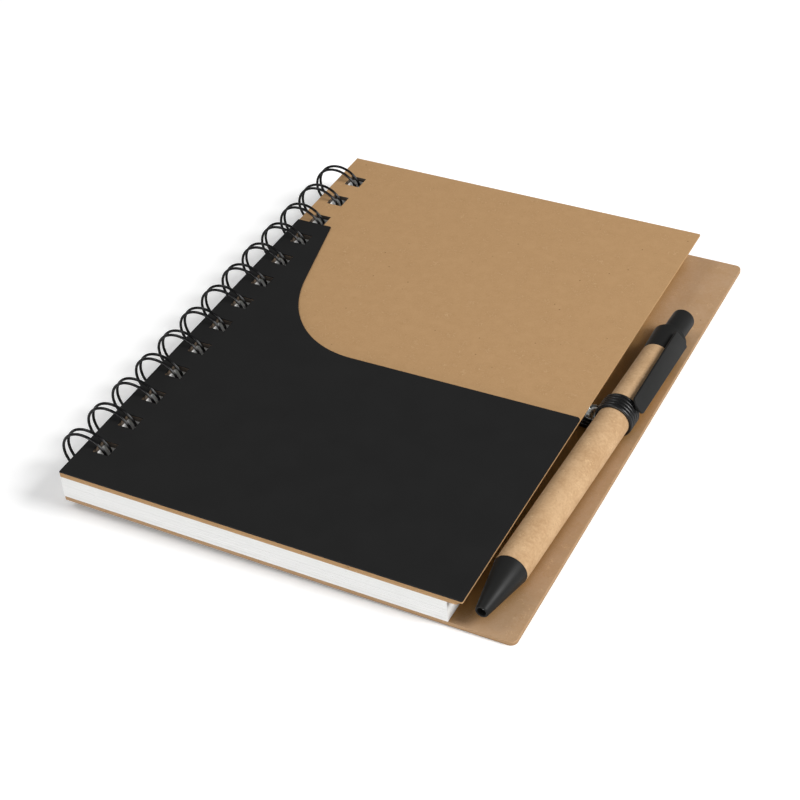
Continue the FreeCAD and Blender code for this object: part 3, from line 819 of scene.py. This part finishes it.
class MakePenCap(bpy.types.Operator):
    """Make the pen's collar and clip with rounded moulded edges"""

    bl_idname = "notebook.make_pen_cap"
    bl_label = "Collar and clip"

    # The collar, by stations and radii
    collar_end: metres("Collar end", "Station of the collar's far end", 0.127)
    collar_radius: metres("Collar radius", "Radius of the collar at its far end", 0.0054)
    rim_bevel: metres("Rim bevel", "Size of the bevel round the collar's far end", 0.0008)
    bore_radius: metres("Bore radius", "Radius of the bore that the button slides in", 0.00385)
    floor_depth: metres("Floor", "Distance from the tube's end to the bore's floor", 0.0005)
    spigot_start: metres("Spigot start", "Station of the spigot's end inside the tube", 0.1073)
    spigot_radius: metres("Spigot radius", "Radius of the spigot inside the tube", 0.00388)
    stem_radius: metres("Stem bore", "Radius of the bore for the button's stem", 0.0026)
    lip: metres("Lip", "How far the collar's start stands out over the tube", 0.00004)

    # The clip, by stations and by distances across it from the line above the pen's axis
    clip_angle: FloatProperty(
        name="Clip angle", description="Turn of the clip about the pen from straight up",
        default=math.radians(61.0), subtype="ANGLE")
    clip_tip: metres("Clip tip", "Station of the clip's free end", 0.0876)
    tip_round: metres("Tip round", "Length of the clip's rounded free end", 0.0015)
    tip_left: metres("Tip left", "Left edge at the free end", -0.00345, -0.01)
    tip_right: metres("Tip right", "Right edge at the free end", 0.0022)
    root_left: metres("Root left", "Left edge at the root", -0.0039, -0.01)
    root_right: metres("Root right", "Right edge at the root", 0.0026)
    peak: metres("Peak", "Place of the root's middle corner", 0.0008)
    end_left: metres("Left end", "Station where the left edge ends", 0.1229)
    end_peak: metres("Peak end", "Station of the root's middle corner", 0.12475)
    end_right: metres("Right end", "Station where the right edge ends", 0.1239)
    face_height: metres("Face height", "Distance from the axis to the face at the tip", 0.0072)
    sink: metres("Sink", "How much nearer to the axis the face is at the root", 0.0011)
    clip_thickness: metres("Clip thickness", "Thickness of the clip's plate", 0.0008)
    edge_round: metres("Edge round", "Rounding of the clip's edges", 0.0003)
    bridge_width: metres("Bridge width", "Width of the bridge between collar and clip", 0.0046)
    bridge_start: metres("Bridge start", "Station where the bridge starts", 0.118)
    bridge_end: metres("Bridge end", "Station where the bridge ends", 0.1233)
    bridge_floor: metres("Bridge floor", "Distance from the axis to the bridge's underside", 0.0045)

    def execute(self, context):
        cap = self.make_collar()
        clip = self.make_plate()
        add_body(clip, self.make_bridge())
        bmesh.ops.rotate(clip, cent=ORIGIN, verts=clip.verts,
                         matrix=Matrix.Rotation(self.clip_angle, 3, "Y"))
        add_body(cap, clip)
        set_piece("collar_and_clip", on_pen(cap), "pen_clip_cap", black_plastic())
        return {"FINISHED"}

    def make_collar(self):
        start = sizes().collar_start
        floor = sizes().nose_length + barrel_length + self.floor_depth
        collar = turned([
            (self.spigot_start, self.stem_radius), (self.spigot_start, self.spigot_radius),
            (start, self.spigot_radius), (start, barrel_radius + self.lip),
            (self.collar_end - self.rim_bevel, self.collar_radius),
            (self.collar_end, self.collar_radius - self.rim_bevel),
            (self.collar_end, self.bore_radius), (floor, self.bore_radius),
            (floor, self.stem_radius)], steps=96)
        soften(collar, width=0.00015, segments=3, where=at_station(self.collar_end))
        return collar

    def face_at(self, station):
        """Height of the clip's face over the pen's axis."""
        return self.face_height - self.sink * (station - self.clip_tip) / (
            self.end_left - self.clip_tip)

    def make_plate(self):
        """The clip's plate: a rounded tip, and a slanted end at its root."""
        middle = (self.tip_left + self.tip_right) / 2
        half = (self.tip_right - self.tip_left) / 2
        outline = [(middle + half * across, self.clip_tip + self.tip_round * (1 - drop))
                   for across, drop in arc_points(0.0, 0.0, 1.0, start=180, end=0, steps=14)]
        outline += [(self.root_right, self.end_right), (self.peak, self.end_peak),
                    (self.root_left, self.end_left)]
        plate = bmesh.new()
        under, face = [
            [plate.verts.new((across, station, self.face_at(station) - depth))
             for across, station in outline]
            for depth in (self.clip_thickness, 0.0)]
        plate.faces.new(under)
        plate.faces.new(face)
        for low, low_next, high_next, high in zip(
                under, under[1:] + under[:1], face[1:] + face[:1], face):
            plate.faces.new((low, low_next, high_next, high))
        bmesh.ops.recalc_face_normals(plate, faces=plate.faces)
        soften(plate, self.edge_round, segments=3, sharper_than=15.0)
        return plate

    def make_bridge(self):
        """The block that joins the plate to the collar."""
        top = self.face_at(self.bridge_start) - self.clip_thickness / 2
        bridge = bmesh.new()
        bmesh.ops.create_cube(bridge, size=1.0)
        bmesh.ops.scale(bridge, verts=bridge.verts, vec=(
            self.bridge_width, self.bridge_end - self.bridge_start, top - self.bridge_floor))
        bmesh.ops.translate(bridge, verts=bridge.verts, vec=(
            0, (self.bridge_start + self.bridge_end) / 2, (top + self.bridge_floor) / 2))
        return bridge


class MakePenButton(bpy.types.Operator):
    """Make the pen's push button with its rounded end"""

    bl_idname = "notebook.make_pen_button"
    bl_label = "Push button"

    radius: metres("Radius", "Radius of the button", 0.0036)
    stem_radius: metres("Stem radius", "Radius of the stem inside the pen", 0.00245)
    stem_start: metres("Stem start", "Station of the stem's inner end", 0.10725)
    cap_start: metres("Cap start", "Station where the stem widens into the button", 0.1224)
    end: metres("End", "Station of the button's outer end", 0.1378)
    roundness: metres("Roundness", "Rounding of the button's outer end", 0.0009)

    def execute(self, context):
        button = turned([
            (self.stem_start, 0.0), (self.stem_start, self.stem_radius),
            (self.cap_start, self.stem_radius), (self.cap_start, self.radius),
            (self.end, self.radius), (self.end, 0.0)], steps=72)
        soften(button, self.roundness, segments=5, where=at_station(self.end))
        set_piece("push_button", on_pen(button), "pen_push_button", black_plastic())
        return {"FINISHED"}


class MakePenSpring(bpy.types.Operator):
    """Make the pen's return spring on a mesh of its own; the real spring shortens as the button is
    pressed
    """

    bl_idname = "notebook.make_pen_spring"
    bl_label = "Spring"

    def execute(self, context):
        spring = merged_copy("pen_spring")
        steel = metal_finish("Spring Steel", colours().spring, (0.22, 0.3), depth=0.000002)
        piece = set_piece("spring", spring, "pen_spring", steel, smooth_below=50.0)
        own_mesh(piece)
        return {"FINISHED"}


class FinishPenWorks(bpy.types.Operator):
    """Give the cam and the refill inside the pen their finishes"""

    bl_idname = "notebook.finish_pen_works"
    bl_label = "Pen works"

    def execute(self, context):
        finishes = {
            "pen_cam": grained_finish(
                "White Plastic", colours().cam, roughness=(0.35, 0.45), grain_scale=3500.0,
                depth=0.000006, lift=1.05),
            "refill_tube": grained_finish(
                "Clear Tube", colours().ink_tube, roughness=(0.1, 0.2), grain_scale=3500.0,
                depth=0.000003, lift=1.05, fixed={"Transmission Weight": 0.6}),
            "refill_tip": metal_finish("Brass", colours().brass, (0.2, 0.32), depth=0.000003),
            "refill_ball": metal_finish("Ball Steel", colours().ball, (0.1, 0.15), depth=0.000001),
        }
        for node, material in finishes.items():
            mesh = frame["nodes"][node].data
            mesh.materials.clear()
            mesh.materials.append(material)
        return {"FINISHED"}


class MakeStage(bpy.types.Operator):
    """Make the floor, the studio light and the camera"""

    bl_idname = "notebook.make_stage"
    bl_label = "Stage"

    floor_size: metres("Floor size", "Side of the floor", 6.0, 1.0, 20.0)
    floor_lift: factor("Floor lift", "Glow that the camera sees on the floor near by", 0.2)
    far_lift: factor("Far lift", "Glow that the camera sees on the floor far off", 0.8)
    ambient: factor("Ambient light", "Strength of the world's light on the object", 0.2)

    def execute(self, context):
        self.make_floor()
        self.make_world(context.scene)
        # Each lamp's side of the object, elevation, distance, width, height and power
        for name, azimuth, elevation, distance, width, height, power in (
                ("key_panel", 100.0, 37.0, 1.4, 0.6, 0.6, 19.2),
                ("left_panel", -70.0, 55.0, 1.4, 0.6, 0.6, 4.6),
                ("front_panel", 0.0, 6.5, 1.5, 1.2, 0.24, 10.8)):
            self.make_lamp(name, azimuth, elevation, distance, width, height, power)
        self.make_camera(context.scene)
        return {"FINISHED"}

    def make_floor(self):
        """A pale floor that the wire's loops and the back board's fore-edge both touch."""
        tilt = math.atan2(board_low.z - wire_low.z, board_high.x - ring_middle_x)
        floor = bmesh.new()
        bmesh.ops.create_grid(floor, x_segments=4, y_segments=4, size=self.floor_size / 2)
        foot = Vector((ring_middle_x, 0, wire_low.z))
        place = Matrix.Translation(foot) @ Matrix.Rotation(-tilt, 4, "Y")
        bmesh.ops.transform(floor, matrix=place, verts=floor.verts)
        piece = link_object("floor", mesh_from("floor", floor))
        material, tree, shader, position = new_material("Studio Floor", {
            "Roughness": 0.9, "Specular IOR Level": 0.0})
        seen = add_node(tree, "ShaderNodeLightPath").outputs["Is Camera Ray"]
        drift = spread(tree, clouds(tree, position, 3.0), 0.3, 0.7)
        pale = blend_colours(tree, drift, (0.78, 0.78, 0.78, 1), (0.8, 0.8, 0.8, 1))
        tree.links.new(blend_colours(tree, seen, pale, WHITE), shader.inputs["Base Color"])
        shader.inputs["Emission Color"].default_value = WHITE
        # Far off, where the lamps don't reach, the floor glows more
        away = add_node(tree, "ShaderNodeVectorMath", {0: position}, operation="LENGTH")
        lift = spread(tree, away.outputs["Value"], 0.3, 1.6, self.floor_lift, self.far_lift)
        tree.links.new(times(tree, seen, lift), shader.inputs["Emission Strength"])
        piece.data.materials.append(material)

    def make_world(self, scene):
        world = bpy.data.worlds.new("Studio")
        world.use_nodes = True
        tree = world.node_tree
        backdrop = tree.nodes["Background"]
        backdrop.inputs["Color"].default_value = WHITE
        paths = add_node(tree, "ShaderNodeLightPath").outputs
        seen = work_out(tree, "MAXIMUM", paths["Is Camera Ray"], paths["Is Transmission Ray"])
        strength = spread(tree, seen, 0.0, 1.0, self.ambient, 1.0)
        tree.links.new(strength, backdrop.inputs["Strength"])
        scene.world = world

    def make_lamp(self, name, azimuth, elevation, distance, width, height, power):
        """A flat panel that faces the object. Azimuth 0 is the side that Y points away from."""
        turn = Matrix.Rotation(math.radians(azimuth), 4, "Z")
        tip = Matrix.Rotation(math.radians(90 - elevation), 4, "X")
        light = bpy.data.lights.new(name, "AREA")
        light.shape = "RECTANGLE"
        light.size = width
        light.size_y = height
        light.energy = power
        lamp = link_object(name, light)
        lamp.matrix_world = turn @ tip @ Matrix.Translation((0, 0, distance))

    def make_camera(self, scene):
        """The photograph's viewpoint: to the right of the foot, looking down and rolled a little."""
        place = Vector((0.205755, -0.369788, 0.340397))
        azimuth = math.radians(29.776)
        elevation = math.radians(39.379)
        roll = math.radians(-4.389)
        lens = bpy.data.cameras.new("camera")
        lens.sensor_width = 36.0
        lens.lens = 79.45
        lens.clip_start = 0.01
        camera = link_object("camera", lens)
        camera.matrix_world = (Matrix.Translation(place)
                               @ Matrix.Rotation(azimuth, 4, "Z")
                               @ Matrix.Rotation(math.pi / 2 - elevation, 4, "X")
                               @ Matrix.Rotation(roll, 4, "Z"))
        scene.camera = camera


PIECES = (MakeCovers, MakePages, MakeWire, MakeElastic, MakeRivet, MakePenBarrel, MakePenNose,
          MakePenCap, MakePenButton, MakePenSpring, FinishPenWorks)


class NotebookPanel(bpy.types.Panel):
    """The notebook's sizes, colours and pieces"""

    bl_idname = "VIEW3D_PT_notebook"
    bl_label = "Notebook and Pen"
    bl_space_type = "VIEW_3D"
    bl_region_type = "UI"
    bl_category = "Notebook"

    def draw(self, context):
        layout = self.layout
        for settings in (context.scene.notebook_sizes, context.scene.notebook_colours):
            box = layout.box()
            for label in settings.bl_rna.properties.keys():
                if label not in ("rna_type", "name"):
                    box.prop(settings, label)
        for operator in (*PIECES, MakeStage):
            layout.operator(operator.bl_idname)


CLASSES = (NotebookSizes, NotebookColours, *PIECES, MakeStage, NotebookPanel)


def register():
    for cls in CLASSES:
        bpy.utils.register_class(cls)
    bpy.types.Scene.notebook_sizes = PointerProperty(type=NotebookSizes)
    bpy.types.Scene.notebook_colours = PointerProperty(type=NotebookColours)


def unregister():
    del bpy.types.Scene.notebook_colours
    del bpy.types.Scene.notebook_sizes
    for cls in reversed(CLASSES):
        bpy.utils.unregister_class(cls)


def main():
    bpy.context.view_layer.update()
    register()
    bpy.context.scene.view_settings.view_transform = "Standard"
    for piece in PIECES:
        getattr(bpy.ops.notebook, piece.bl_idname.split(".")[1])()
    bpy.ops.notebook.make_stage()


if __name__ == "__main__":
    main()
